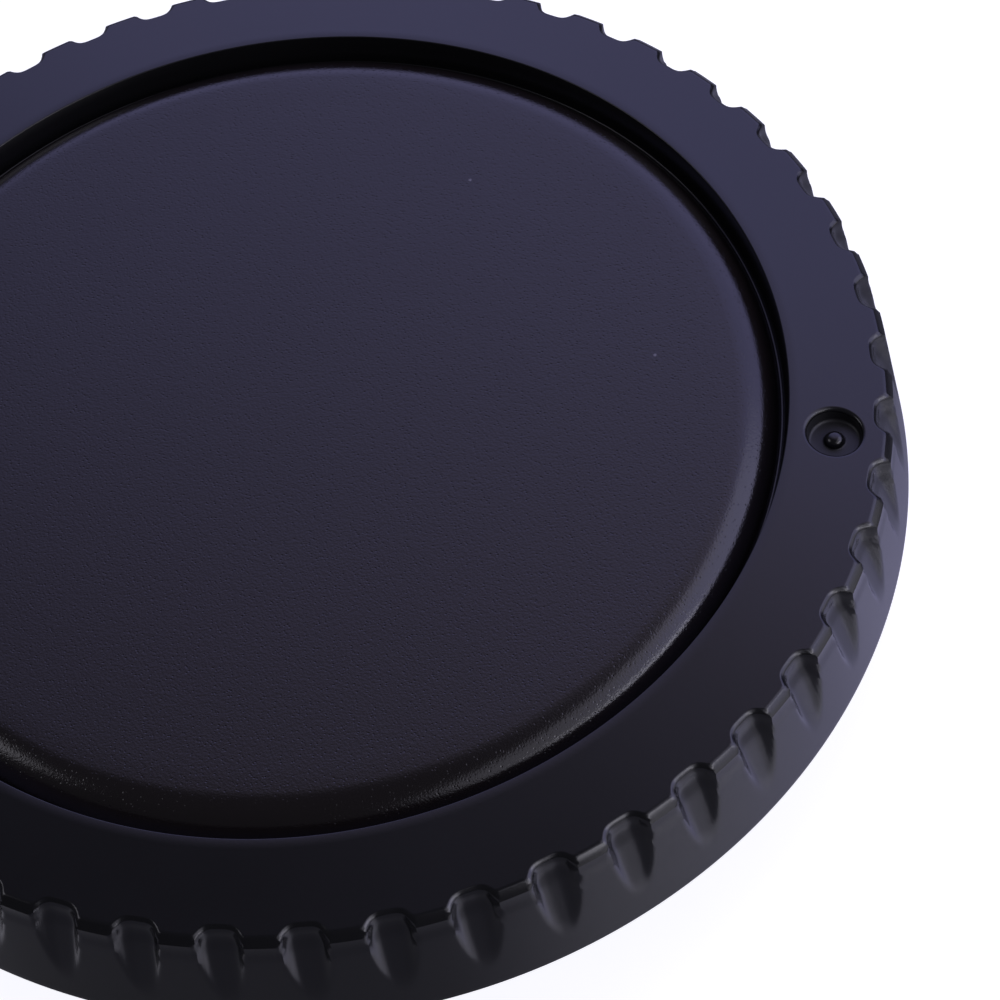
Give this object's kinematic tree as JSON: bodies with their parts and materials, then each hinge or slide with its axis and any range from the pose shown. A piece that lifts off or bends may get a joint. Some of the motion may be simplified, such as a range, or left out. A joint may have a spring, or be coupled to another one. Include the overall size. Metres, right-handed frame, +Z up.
{
  "type": "camera body cap",
  "caption": "Round moulded cap that closes the lens mount of an SLR camera body, with a scalloped grip rim, a grooved outer face, an alignment dot and a bayonet collar underneath.",
  "frame": {"origin": "on the cap's axis, level with the lower end of the bayonet collar, which the cap rests on", "axes": "+Z up out of the outer face, +X towards the alignment dot"},
  "size_m": [0.066, 0.066, 0.0118],
  "materials": {
    "black_abs": "injection-moulded black ABS, satin ring and skirt, fine spark-eroded grain on the disc"
  },
  "bodies": {
    "root": {"body_cap": "black_abs"}
  },
  "joints": []
}
